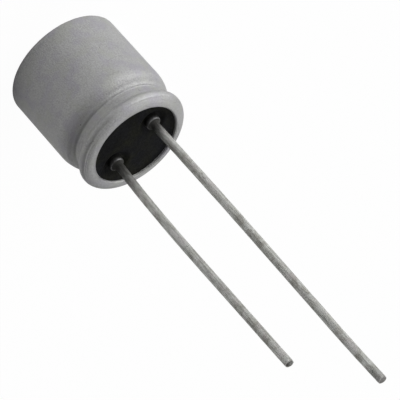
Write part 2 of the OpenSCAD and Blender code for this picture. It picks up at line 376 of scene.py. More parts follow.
class Effects:
    """The shared effects, each a node group that is built once."""

    def build(self) -> None:
        """Builds the groups."""
        self._clouds()
        self._streaks()
        self._specks()
        self._scratches()

    @staticmethod
    def _start(effect: Effect, **inputs: float) -> tuple[Graph, bpy.types.NodeOutputs, Socket]:
        """Starts a group with number inputs and one Value output.

        Args:
            effect: the effect, which the group is named after.
            inputs: each input's name and usual value.

        Returns:
            The group's graph, the sockets that give its inputs by name, and the socket of its Value.
        """
        tree = bpy.data.node_groups.new(effect.value, "ShaderNodeTree")
        for label, value in inputs.items():
            socket = tree.interface.new_socket(name=label, in_out="INPUT", socket_type="NodeSocketFloat")
            socket.default_value = value
        tree.interface.new_socket(name="Value", in_out="OUTPUT", socket_type="NodeSocketFloat")
        given = tree.nodes.new("NodeGroupInput")
        made = tree.nodes.new("NodeGroupOutput")
        return Graph(tree), given.outputs, made.inputs[0]

    @staticmethod
    def _place(graph: Graph, across: Socket, along: Socket, rings: object, seed: Socket) -> Socket:
        """Gives a pattern's coordinates, stretched along the axis or round it.

        Args:
            graph: the group's graph.
            across: the pattern's size across its grain, in mm.
            along: the pattern's size along its grain, in mm.
            rings: 0 for a grain along the Z axis, 1 for one that runs round the part.
            seed: moves the pattern.

        Returns:
            The coordinates' socket.
        """
        level = graph.pick(rings, graph.attribute(RUN), graph.height())
        scaled = {2: graph.math("ADD", graph.math("DIVIDE", level, graph.pick(rings, across, along)), seed)}
        plan = graph.pick(rings, along, across)
        place = graph.add("SeparateXYZ", {0: graph.place()})
        for i in (0, 1):
            flat = graph.math("DIVIDE", graph.math("DIVIDE", place.outputs[i], MM), plan)
            scaled[i] = graph.math("ADD", flat, seed)
        return graph.add("CombineXYZ", scaled).outputs[0]

    @staticmethod
    def _stretch(graph: Graph, value: Socket, contrast: Socket) -> Socket:
        """Stretches noise away from its middle, and keeps it between 0 and 1."""
        centred = graph.math("SUBTRACT", value, 0.5)
        return graph.math("ADD", graph.math("MULTIPLY", centred, contrast), 0.5, clamp=True)

    def _clouds(self) -> None:
        """Builds soft patches: Size in mm, Contrast, Detail and Seed."""
        graph, given, value = self._start(Effect.CLOUDS, Size=1.0, Contrast=2.0, Detail=3.0, Seed=0.0)
        place = self._place(graph, given["Size"], given["Size"], 0.0, given["Seed"])
        cloud = graph.wander(place, detail=given["Detail"])
        graph.feed(value, self._stretch(graph, cloud, given["Contrast"]))

    def _streaks(self) -> None:
        """Builds fine parallel grain: Width and Length in mm, Contrast, Rings and Seed."""
        graph, given, value = self._start(
            Effect.STREAKS, Width=0.05, Length=2.0, Contrast=1.5, Rings=0.0, Seed=0.0)
        place = self._place(graph, given["Width"], given["Length"], given["Rings"], given["Seed"])
        grain = graph.wander(place, detail=4.0, rough=0.6)
        graph.feed(value, self._stretch(graph, grain, given["Contrast"]))

    def _specks(self) -> None:
        """Builds small separate marks: Spacing in mm, Reach and Share of the cells, and Seed."""
        graph, given, value = self._start(Effect.SPECKS, Spacing=0.5, Reach=0.2, Share=0.3, Seed=0.0)
        place = self._place(graph, given["Spacing"], given["Spacing"], 0.0, given["Seed"])
        cells = graph.add("TexVoronoi", {"Vector": place, "Scale": 1.0}, feature="F1")
        chance = graph.add("SeparateColor", {0: cells.outputs["Color"]})
        reach = graph.math("MULTIPLY", given["Reach"], chance.outputs[1])
        dot = graph.rise(cells.outputs["Distance"], reach, graph.math("MULTIPLY", reach, 0.5))
        picked = graph.math("LESS_THAN", chance.outputs[0], given["Share"])
        graph.feed(value, graph.math("MULTIPLY", dot, picked))

    def _scratches(self) -> None:
        """Builds thin broken lines: Spacing and Length in mm, Width, Share, Rings and Seed."""
        graph, given, value = self._start(
            Effect.SCRATCHES, Spacing=0.5, Length=2.0, Width=0.02, Share=0.4, Rings=0.0, Seed=0.0)
        place = self._place(graph, given["Spacing"], given["Length"], given["Rings"], given["Seed"])
        off = graph.math("ABSOLUTE", graph.math("SUBTRACT", graph.wander(place, detail=1.0), 0.5))
        thin = graph.rise(off, given["Width"], 0.0)
        edge = graph.math("SUBTRACT", 1.0, given["Share"])
        kept = graph.rise(graph.wander(place, scale=2.3), edge, graph.math("ADD", edge, 0.12))
        graph.feed(value, graph.math("MULTIPLY", thin, kept))


@dataclass(frozen=True)
class Finish:
    """One material: its name, its main colour and its constant values, with its relief in mm."""

    name: str
    colour: Colour
    roughness: float
    metallic: float = 0.0
    specular: float = 0.5
    gloss_coat: float = 0.0
    relief: float = 0.01

    def build(self) -> bpy.types.Material:
        """Builds the material.

        Returns:
            The material.
        """
        made = bpy.data.materials.new(self.name)
        made.use_nodes = True
        made.diffuse_color = (*self.colour, 1.0)
        graph = Graph(made.node_tree)
        shader = made.node_tree.nodes["Principled BSDF"].inputs
        shader["Base Color"].default_value = (*self.colour, 1.0)
        shader["Roughness"].default_value = self.roughness
        shader["Metallic"].default_value = self.metallic
        shader["Specular IOR Level"].default_value = self.specular
        shader["Coat Weight"].default_value = self.gloss_coat
        tone, rough, height = self.paint(graph)
        graph.feed(shader["Base Color"], tone)
        graph.feed(shader["Roughness"], rough)
        bump = graph.add("Bump", {"Strength": 1.0, "Distance": self.relief * MM, "Height": height})
        graph.feed(shader["Normal"], bump.outputs[0])
        return made

    def paint(self, graph: Graph) -> Coat:
        """Lays the finish's effects over each other, which each kind of finish does its own way.

        Args:
            graph: the material's graph.

        Returns:
            The coat.
        """
        raise NotImplementedError

    def shade(self, level: float) -> Colour:
        """Gives the main colour, lighter or darker."""
        return tuple(min(1.0, part * level) for part in self.colour)

    def lay(self, graph: Graph, tone: Socket | Colour, *layers: Layer) -> Socket:
        """Lays colours over a tone, one after the other.

        Args:
            graph: the material's graph.
            tone: what lies lowest.
            layers: what is laid over it.

        Returns:
            The colour's socket.
        """
        for mask, colour, least, most in layers:
            over = colour if isinstance(colour, tuple) else self.shade(colour)
            tone = graph.mix(graph.span(mask, least, most), tone, over)
        return tone

    def vary_roughness(self, graph: Graph, mask: Socket, less: float, more: float) -> Socket:
        """Spreads a mask from less to more than the usual roughness."""
        return graph.span(mask, self.roughness - less, self.roughness + more)


@dataclass(frozen=True)
class CanFinish(Finish):
    """Drawn aluminium: satin, with a grain up its side and round its rolled end, tinted in patches.

    A band across the shoulder is rougher and darkened with painted shade, and painted shade darkens the rim
    along its curled edge.
    """

    name: str = "can_aluminium"
    colour: Colour = (0.42, 0.42, 0.42)
    roughness: float = 0.6
    metallic: float = 0.75
    relief: float = 0.009
    violet: Colour = (0.38, 0.37, 0.41)
    olive: Colour = (0.4, 0.405, 0.375)
    dirt: Colour = (0.07, 0.065, 0.06)
    rolled_from: float = 5.1
    rolled_to: float = 6.0
    # Where the band of painted shade lies across the shoulder, how softly it starts and ends, and how much
    # rougher it is.
    band_from: float = 5.92
    band_to: float = 6.22
    band_soft: float = 0.15
    band_rough: float = 0.12
    # Painted shade at the rim's curled edge: the height where it starts, and the distances from the edge
    # where it is full and where it is gone.
    rim_from: float = 7.6
    rim_soft: float = 0.1
    edge_near: float = 0.06
    edge_far: float = 0.16
    tooth_relief: float = 0.8
    edge_r: float = field(kw_only=True)

    def paint(self, graph: Graph) -> Coat:
        """Lays grain, tints, the band of painted shade, the painted shade at the edge, scores and specks.

        Args:
            graph: the material's graph.

        Returns:
            The coat.
        """
        drawn = graph.effect(Effect.STREAKS, Width=0.1, Length=2.4, Contrast=2.6, Seed=6.0)
        wide = graph.effect(Effect.STREAKS, Width=0.5, Length=6.0, Contrast=2.2, Seed=1.0)
        rolled = graph.effect(Effect.STREAKS, Width=0.06, Length=2.2, Contrast=2.8, Rings=1.0)
        marks = graph.effect(Effect.STREAKS, Width=0.15, Length=7.0, Contrast=3.4, Rings=1.0, Seed=4.0)
        tooth = graph.effect(Effect.CLOUDS, Size=0.1, Contrast=3.4, Detail=4.0, Seed=7.0)
        patches = graph.effect(Effect.CLOUDS, Size=1.3, Contrast=2.4, Seed=2.0)
        cast = graph.effect(Effect.CLOUDS, Size=1.1, Contrast=4.0, Detail=2.0, Seed=14.0)
        warm = graph.effect(Effect.CLOUDS, Size=1.0, Contrast=4.0, Detail=2.0, Seed=23.0)
        specks = graph.effect(Effect.SPECKS, Spacing=0.5, Reach=0.11, Share=0.3, Seed=3.0)
        scores = graph.effect(Effect.SCRATCHES, Spacing=0.9, Length=2.6, Width=0.016, Share=0.5,
                              Rings=1.0, Seed=9.0)
        level = graph.height()
        end = graph.rise(level, self.rolled_from, self.rolled_to)
        # Painted shade: a darker band across the shoulder under the rim, which is also rougher there.
        rough_shade_band = graph.math("SUBTRACT", graph.rise(level, self.band_from, self.band_from + self.band_soft),
                          graph.rise(level, self.band_to, self.band_to + self.band_soft))
        # Painted shade: the rim is darker along its curled edge beside the bung, where shade falls.
        inward = graph.rise(graph.reach(), self.edge_r + self.edge_far, self.edge_r + self.edge_near)
        edge = graph.math("MULTIPLY", inward, graph.rise(level, self.rim_from, self.rim_from + self.rim_soft))
        bars = graph.math("MULTIPLY", end, graph.span(marks, 0.0, 0.6))
        lines = graph.math("MULTIPLY", scores, graph.span(end, 0.2, 0.6))
        grain = graph.mix(end, graph.span(drawn, 0.3, 0.7), rolled)
        # The band and edge layers below are painted shade; the others are the can's own colour.
        tone = self.lay(
            graph, self.shade(1.14), (grain, 0.98, 0.0, 1.0), (bars, 0.76, 0.0, 1.0), (rough_shade_band, 0.78, 0.0, 0.3),
            (edge, 0.45, 0.0, 0.6), (tooth, 0.7, -0.15, 0.7), (wide, 0.85, 0.0, 0.3),
            (patches, 1.2, 0.0, 0.45), (cast, self.violet, -0.5, 0.6), (warm, self.olive, -0.6, 0.5),
            (lines, 0.55, 0.0, 1.0), (specks, self.dirt, 0.0, 0.75))
        rough = self.vary_roughness(graph, patches, less=0.06, more=0.06)
        rough = graph.math("ADD", rough, graph.span(tooth, -0.05, 0.05))
        rough = graph.math("ADD", rough, graph.math("MULTIPLY", rough_shade_band, self.band_rough))
        height = graph.math("ADD", grain, graph.math("MULTIPLY", tooth, self.tooth_relief))
        return tone, rough, graph.math("SUBTRACT", height, lines)


@dataclass(frozen=True)
class RubberFinish(Finish):
    """Moulded black rubber: matte, dusty, bluish and olive in patches."""

    name: str = "bung_rubber"
    colour: Colour = (0.003, 0.003, 0.0026)
    roughness: float = 0.75
    specular: float = 0.1
    relief: float = 0.012
    cool: Colour = (0.0065, 0.007, 0.0095)
    olive: Colour = (0.011, 0.0115, 0.006)
    dust: Colour = (0.1, 0.098, 0.09)
    patch_relief: float = 0.6

    def paint(self, graph: Graph) -> Coat:
        """Lays patches, a thin film, pores and dust.

        Args:
            graph: the material's graph.

        Returns:
            The coat.
        """
        patches = graph.effect(Effect.CLOUDS, Size=1.6, Contrast=2.6, Seed=5.0)
        film = graph.effect(Effect.CLOUDS, Size=1.3, Contrast=3.0, Seed=12.0)
        pores = graph.effect(Effect.CLOUDS, Size=0.12, Contrast=2.2, Detail=4.0, Seed=1.0)
        dust = graph.effect(Effect.SPECKS, Spacing=0.3, Reach=0.16, Share=0.2, Seed=6.0)
        tone = self.lay(
            graph, self.colour, (patches, self.cool, 0.0, 1.0), (film, self.olive, -0.5, 1.0),
            (pores, 0.4, -0.1, 0.6), (dust, self.dust, 0.0, 0.16))
        rough = self.vary_roughness(graph, pores, less=0.1, more=0.1)
        return tone, rough, graph.math("ADD", pores, graph.math("MULTIPLY", patches, self.patch_relief))


@dataclass(frozen=True)
class WireFinish(Finish):
    """Tinned wire: drawn along its length, dull, with tarnish and cuts from handling."""

    colour: Colour = (0.55, 0.557, 0.535)
    roughness: float = 0.5
    metallic: float = 0.7
    relief: float = 0.009
    olive: Colour = (0.24, 0.235, 0.18)
    brown: Colour = (0.21, 0.19, 0.16)
    pink: Colour = (0.48, 0.45, 0.45)
    burnt: Colour = (0.03, 0.029, 0.027)
    lump_relief: float = 0.7
    burnt_rough: float = 0.3
    seed: float = field(kw_only=True)

    def paint(self, graph: Graph) -> Coat:
        """Lays grain, dents, tints and cuts, and the scorch and the core that the mesh keeps.

        Args:
            graph: the material's graph.

        Returns:
            The coat.
        """
        seed = self.seed
        drawn = graph.effect(Effect.STREAKS, Width=0.055, Length=2.6, Contrast=2.6, Seed=seed)
        dents = graph.effect(Effect.STREAKS, Width=0.1, Length=1.6, Contrast=4.0, Seed=seed + 5)
        patches = graph.effect(Effect.CLOUDS, Size=0.75, Contrast=3.2, Seed=seed + 1)
        stains = graph.effect(Effect.CLOUDS, Size=0.5, Contrast=4.0, Seed=seed + 2)
        tints = graph.effect(Effect.CLOUDS, Size=0.6, Contrast=4.0, Detail=2.0, Seed=seed + 3)
        lumps = graph.effect(Effect.CLOUDS, Size=0.2, Contrast=1.6, Seed=seed + 4)
        cuts = graph.effect(Effect.SCRATCHES, Spacing=0.35, Length=1.1, Width=0.03, Share=0.42, Seed=seed)
        weld = graph.attribute(WELD)
        core = graph.attribute(CORE)
        tone = self.lay(
            graph, self.shade(1.2), (drawn, 0.65, 0.0, 0.7), (dents, 0.5, -0.45, 0.65),
            (patches, self.olive, -0.1, 0.3), (stains, self.brown, -0.45, 0.4),
            (tints, self.pink, -0.5, 0.45), (cuts, self.burnt, 0.0, 0.8), (weld, self.burnt, 0.0, 0.92),
            (core, self.burnt, 0.0, 1.0))
        burnt = graph.math("MULTIPLY", graph.math("ADD", weld, core), self.burnt_rough)
        rough = self.vary_roughness(graph, patches, less=0.08, more=0.16)
        rough = graph.math("ADD", rough, burnt, clamp=True)
        height = graph.math("ADD", drawn, graph.math("MULTIPLY", lumps, self.lump_relief))
        return tone, rough, graph.math("SUBTRACT", height, cuts)


@dataclass(frozen=True)
class TabFinish(Finish):
    """Soft aluminium: the pressed tab is bright, the stem's outer end is grimy, and painted shade darkens the
    stem down in its hole.
    """

    name: str = "tab_aluminium"
    colour: Colour = (0.55, 0.55, 0.56)
    roughness: float = 0.55
    metallic: float = 0.8
    # One dark colour for the grime on the stem's outer end and for the painted shade down in its hole.
    grime_and_shade: Colour = (0.03, 0.03, 0.028)
    dull: float = 0.75
    outer_from: float = 1.0
    outer_to: float = 0.8
    # Depths below the stem's top where the painted shade in the hole begins and where it is full.
    unshaded_h: float = 0.04
    shaded_h: float = 0.3
    stem_top: float = field(kw_only=True)

    def paint(self, graph: Graph) -> Coat:
        """Lays grain and patches, grime on the stem's outer end, and painted shade on the stem down in its
        hole.

        Args:
            graph: the material's graph.

        Returns:
            The coat.
        """
        pressed = graph.effect(Effect.STREAKS, Width=0.08, Length=1.2, Contrast=1.8, Seed=2.0)
        patches = graph.effect(Effect.CLOUDS, Size=0.3, Contrast=3.0, Seed=8.0)
        level = graph.height()
        outside = graph.rise(level, self.stem_top - self.outer_from, self.stem_top - self.outer_to)
        # Painted shade: deep rises as the stem goes down into its hole, and sunk darkens it there, where
        # shade falls, with some grime.
        deep = graph.rise(level, self.stem_top - self.unshaded_h, self.stem_top - self.shaded_h)
        dulled = graph.math("MULTIPLY", graph.math("MULTIPLY", outside, self.dull),
                            graph.span(patches, 0.8, 1.0))
        sunk = graph.math("MULTIPLY", deep, outside)
        tone = self.lay(
            graph, self.shade(1.1), (pressed, 0.75, 0.0, 0.5), (patches, 0.45, 0.0, 0.6),
            (dulled, self.grime_and_shade, 0.0, 1.0), (sunk, self.grime_and_shade, 0.0, 1.0))
        rough = self.vary_roughness(graph, patches, less=0.1, more=0.15)
        return tone, rough, graph.math("ADD", pressed, patches)


@dataclass(frozen=True)
class FoilFinish(Finish):
    """Aluminium foil: rolled along its length, and pitted where it is etched."""

    name: str = "plain_foil"
    colour: Colour = (0.75, 0.75, 0.76)
    roughness: float = 0.35
    metallic: float = 1.0
    relief: float = 0.004
    pits: float = 0.0

    def paint(self, graph: Graph) -> Coat:
        """Lays grain, patches and pits.

        Args:
            graph: the material's graph.

        Returns:
            The coat.
        """
        rolled = graph.effect(Effect.STREAKS, Width=0.06, Length=2.5, Contrast=1.6, Seed=1.0)
        pits = graph.effect(Effect.SPECKS, Spacing=0.08, Reach=0.4, Share=0.8, Seed=2.0)
        patches = graph.effect(Effect.CLOUDS, Size=0.9, Contrast=2.0, Detail=2.0, Seed=3.0)
        tone = self.lay(graph, self.shade(1.05), (rolled, 0.82, 0.0, 0.4), (patches, 0.85, 0.0, 0.3),
                        (pits, 0.35, 0.0, self.pits))
        rough = self.vary_roughness(graph, patches, less=0.05, more=0.1)
        return tone, rough, graph.math("SUBTRACT", rolled, graph.math("MULTIPLY", pits, self.pits))


@dataclass(frozen=True)
class PaperFinish(Finish):
    """Separator paper: long fibres, soaked unevenly."""

    name: str = "separator_paper"
    colour: Colour = (0.72, 0.62, 0.42)
    roughness: float = 0.9
    soaked: Colour = (0.5, 0.4, 0.24)

    def paint(self, graph: Graph) -> Coat:
        """Lays fibres and soaked patches.

        Args:
            graph: the material's graph.

        Returns:
            The coat.
        """
        fibres = graph.effect(Effect.STREAKS, Width=0.03, Length=0.5, Contrast=2.6, Seed=3.0)
        soak = graph.effect(Effect.CLOUDS, Size=1.2, Contrast=2.6, Seed=4.0)
        tone = self.lay(graph, self.shade(1.1), (fibres, 0.78, 0.0, 0.5), (soak, self.soaked, 0.0, 0.7))
        return tone, self.vary_roughness(graph, soak, less=0.0, more=-0.3), fibres


@dataclass(frozen=True)
class TapeFinish(Finish):
    """Amber film tape: glossy, with a faint crease here and there."""

    name: str = "tape_film"
    colour: Colour = (0.62, 0.4, 0.09)
    roughness: float = 0.25
    gloss_coat: float = 0.4
    relief: float = 0.008

    def paint(self, graph: Graph) -> Coat:
        """Lays the glue's patches and the creases.

        Args:
            graph: the material's graph.

        Returns:
            The coat.
        """
        creases = graph.effect(Effect.SCRATCHES, Spacing=0.9, Length=3.0, Width=0.03, Share=0.5, Seed=5.0)
        glue = graph.effect(Effect.CLOUDS, Size=0.8, Contrast=2.2, Seed=6.0)
        tone = self.lay(graph, self.colour, (glue, 0.6, 0.0, 0.5), (creases, 1.5, 0.0, 0.5))
        return tone, self.vary_roughness(graph, glue, less=0.0, more=0.2), creases


def take_piece(made: Piece, node: str, finish: Finish) -> None:
    """Gives a new piece its finish and fits it to the frame.

    Args:
        made: the piece.
        node: the CAD node that it stands for.
        finish: its finish.
    """
    made.data.materials.clear()
    made.data.materials.append(finish.build())
    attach(made, BODY)
    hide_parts(node)
    LOG.info("%s: %d faces, stands for %s", made.name, len(made.data.polygons), node)


@dataclass
class Neck:
    """The can's turned section: its shoulder, rolled groove and curled rim.

    Every bend keeps the wall's thickness, so the outline at a depth below the outer
    skin bends about the same centres as the skin.
    """

    can_r: float
    can_h: float
    wall: float = 0.3
    neck_h: float = 2.95
    shoulder_r: float = 2.3
    groove_depth: float = 0.5
    groove_angle: float = 57.0
    groove_r: float = 0.13
    step_r: float = 0.34
    under_angle: float = 70.0
    rim_h: float = 0.56
    rim_inset: float = 0.1
    rim_w: float = 0.87
    fold_r: float = 0.34
    turn_r: float = 0.42
    land_w: float = 0.09
    edge_round: float = 0.13
    shoulder_step: float = 1.5

    @property
    def shoulder_z(self) -> float:
        """Height at which the shoulder leaves the can's side."""
        return self.can_h - self.neck_h

    @property
    def edge_r(self) -> float:
        """Radius of the rim's curled edge, which frames the bung."""
        return self.can_r - self.rim_inset - self.rim_w

    def outline(self, depth: float) -> list[Point]:
        """Gives the section at a depth below the outer skin.

        Args:
            depth: how far below the skin, in mm.

        Returns:
            The points from the shoulder's start to the rim's flat top.
        """
        groove = math.radians(self.groove_angle)
        under = math.radians(self.under_angle)
        floor_in = self.groove_depth - self.groove_r * (1 - math.cos(groove)) + self.step_r * math.cos(groove)
        shoulder = math.acos((self.shoulder_r - floor_in) / (self.shoulder_r - self.step_r))
        step_x = self.can_r - self.shoulder_r + (self.shoulder_r - self.step_r) * math.cos(shoulder)
        step_z = self.shoulder_z + (self.shoulder_r - self.step_r) * math.sin(shoulder)
        low_z = step_z + (self.step_r + self.groove_r) * math.sin(groove)
        floor_r = self.can_r - self.groove_depth
        rim_r = self.can_r - self.rim_inset
        rim_z = self.can_h - self.rim_h
        under_in_r = floor_r + self.groove_r * (1 - math.cos(under))
        under_out_r = rim_r - self.fold_r * (1 - math.cos(under))
        under_out_z = rim_z - self.fold_r * math.sin(under)
        under_in_z = under_out_z - (under_out_r - under_in_r) / math.tan(under)
        high_z = under_in_z - self.groove_r * math.sin(under)
        crown_w = self.rim_w - self.land_w
        across = crown_w - self.turn_r
        crown_angle = 90 - 2 * math.degrees(math.atan((self.rim_h - self.turn_r) / across))
        crown_r = self.turn_r + across / math.cos(math.radians(crown_angle))
        groove_x = floor_r + self.groove_r
        return [
            *arc((self.can_r - self.shoulder_r, self.shoulder_z), self.shoulder_r - depth,
                 0, math.degrees(shoulder), self.shoulder_step),
            *arc((step_x, step_z), self.step_r - depth, math.degrees(shoulder), self.groove_angle)[1:],
            *arc((groove_x, low_z), self.groove_r + depth, 180 + self.groove_angle, 180),
            *arc((groove_x, high_z), self.groove_r + depth, 180, 180 - self.under_angle),
            *arc((rim_r - self.fold_r, rim_z), self.fold_r - depth, -self.under_angle, 0),
            *arc((rim_r - self.turn_r, rim_z), self.turn_r - depth, 0, crown_angle),
            *arc((self.edge_r + self.land_w, self.can_h - crown_r), crown_r - depth, crown_angle, 90),
        ]


@dataclass
class Can:
    """The drawn can, one piece from its closed end to its curled rim.

    Its rolled end is uneven by wobble at most, from noise that is read on a circle of radius
    wobble_round and moves on by wobble_up for each mm of height.
    """

    neck: Neck
    corner_r: float = 0.12
    corner_in_r: float = 0.35
    faces: int = 224
    side_step: float = 0.25
    corner_step: float = 10.0
    lip_step: float = 12.0
    wobble: float = 0.02
    wobble_round: float = 1.4
    wobble_up: float = 0.5
    wobble_in: float = 0.6
    wobble_down: float = 0.4
    rolled_h: float = 1.2

    def build(self) -> Piece:
        """Turns the can.

        Returns:
            The can.
        """
        neck = self.neck
        edge = neck.edge_round
        bore_r = neck.can_r - neck.wall
        skin = [(0.0, 0.0), *arc((neck.can_r - self.corner_r, self.corner_r), self.corner_r,
                                 -90, 0, self.corner_step)]
        skin += line(skin[-1], (neck.can_r, neck.shoulder_z), self.side_step)[:-1]
        skin += neck.outline(0)
        lip = arc((neck.edge_r + edge, neck.can_h - edge), edge, 90, 180, self.lip_step)
        lip += [(neck.edge_r, neck.can_h - neck.wall)]
        lining = [(0.0, neck.wall)]
        lining += arc((bore_r - self.corner_in_r, neck.wall + self.corner_in_r), self.corner_in_r,
                      -90, 0, self.corner_step)
        lining += neck.outline(neck.wall)
        return lathe("can_shell", [*skin, *lip, *reversed(lining)], self.faces, self.roll)

    def dress(self, made: Piece) -> None:
        """Gives the can its finish and fits it to the frame."""
        take_piece(made, "can", CanFinish(edge_r=self.neck.edge_r))

    def roll(self, bearing: float, radius: float, height: float) -> Point:
        """Moves a point of the rolled end in by the small unevenness that rolling leaves.

        Args:
            bearing: where the point stands round the can, in radians.
            radius: its distance from the axis.
            height: its height.

        Returns:
            The moved radius and height.
        """
        neck = self.neck
        if radius == 0 or height < neck.shoulder_z:
            return radius, height
        place = Vector((math.cos(bearing) * self.wobble_round, math.sin(bearing) * self.wobble_round,
                        height * self.wobble_up))
        rolled = smooth(neck.shoulder_z, neck.can_h - self.rolled_h, height)
        dip = self.wobble * rolled * (0.5 + 0.5 * noise.noise(place))
        lower = self.wobble_down * dip * smooth(neck.can_h - neck.rim_h, neck.can_h, height)
        return radius - self.wobble_in * dip, height - lower


@dataclass
class Bung:
    """The rubber bung, which fills the neck and shows its face inside the rim.

    The face swells a little along the rim, and is sunk in a recess round each stem.
    """

    neck: Neck
    stem_x: float
    stem_r: float
    low_z: float
    drop: float = 0.25
    swell_w: float = 0.35
    swell_drop: float = 0.18
    recess_r: float = 1.05
    recess_lip: float = 0.05
    recess_wall: float = 0.45
    recess_depth: float = 0.25
    ripple: float = 0.008
    ripple_scale: float = 1.7
    ripple_seed: float = 0.4
    seat_gap: float = 0.01
    faces: int = 192
    ring_step: float = 0.055
    drill_l: float = 10.0
    drill_faces: int = 64

    @property
    def exposed_r(self) -> float:
        """Radius of the face that shows."""
        return self.neck.edge_r - self.seat_gap

    @property
    def face_z(self) -> float:
        """Height of the face's swelling."""
        return self.neck.can_h - self.swell_drop

    def build(self) -> Piece:
        """Turns the bung, sinks its recesses and bores its two holes.

        Returns:
            The bung.
        """
        neck = self.neck
        depth = neck.wall + self.seat_gap
        side = [p for p in neck.outline(depth) if p[1] > self.low_z]
        inner_r = neck.shoulder_r - depth
        low_r = neck.can_r - neck.shoulder_r + math.sqrt(inner_r ** 2 - (self.low_z - neck.shoulder_z) ** 2)
        top = (self.exposed_r, self.face_z)
        outline = [(0.0, self.low_z), (low_r, self.low_z), *side, (self.exposed_r, neck.can_h - depth), top]
        outline += line(top, (0.0, self.face_z), self.ring_step)
        made = lathe("bung", outline, self.faces, self.mould)
        for side_x in (-self.stem_x, self.stem_x):
            self.bore(made, side_x)
        made.data.shade_smooth()
        made.data.set_sharp_from_angle(angle=math.radians(SHARP))
        return made

    def dress(self, made: Piece) -> None:
        """Gives the bung its finish and fits it to the frame."""
        take_piece(made, "rubber_bung", RubberFinish())

    def mould(self, bearing: float, radius: float, height: float) -> Point:
        """Shapes the bung's face: the swelling along the rim and the recess round each stem.

        Args:
            bearing: where the point stands, in radians.
            radius: its distance from the axis.
            height: its height.

        Returns:
            The radius and the new height.
        """
        if height < self.face_z - ROUNDING:
            return radius, height
        x = radius * math.cos(bearing)
        y = radius * math.sin(bearing)
        fall = smooth(0, self.swell_w, self.exposed_r - radius)
        sunk = (self.drop - self.swell_drop) * fall
        for side_x in (-self.stem_x, self.stem_x):
            off = math.hypot(x - side_x, y)
            hollow = 1 - smooth(self.recess_r - self.recess_wall, self.recess_r + self.recess_lip, off)
            sunk += self.recess_depth * hollow * fall
        place = Vector((x * self.ripple_scale, y * self.ripple_scale, self.ripple_seed))
        return radius, self.face_z - sunk - abs(self.ripple * noise.noise(place) * fall)

    def bore(self, made: Piece, side_x: float) -> None:
        """Cuts one stem's hole through the bung.

        Args:
            made: the bung.
            side_x: where the hole stands on the X axis.
        """
        drill_r = (self.stem_r + self.seat_gap) * MM
        drill = bmesh.new()
        bmesh.ops.create_cone(drill, cap_ends=True, segments=self.drill_faces, radius1=drill_r,
                              radius2=drill_r, depth=self.drill_l * MM)
        bmesh.ops.translate(drill, verts=drill.verts, vec=(side_x * MM, 0, self.low_z * MM))
        tool = make_object(drill, "stem_hole")
        cut = made.modifiers.new("bore", "BOOLEAN")
        cut.operation = "DIFFERENCE"
        cut.solver = "EXACT"
        cut.object = tool
        graph = bpy.context.evaluated_depsgraph_get()
        bored = bpy.data.meshes.new_from_object(made.evaluated_get(graph), depsgraph=graph)
        made.modifiers.clear()
        made.data = bored
        bpy.data.objects.remove(tool)


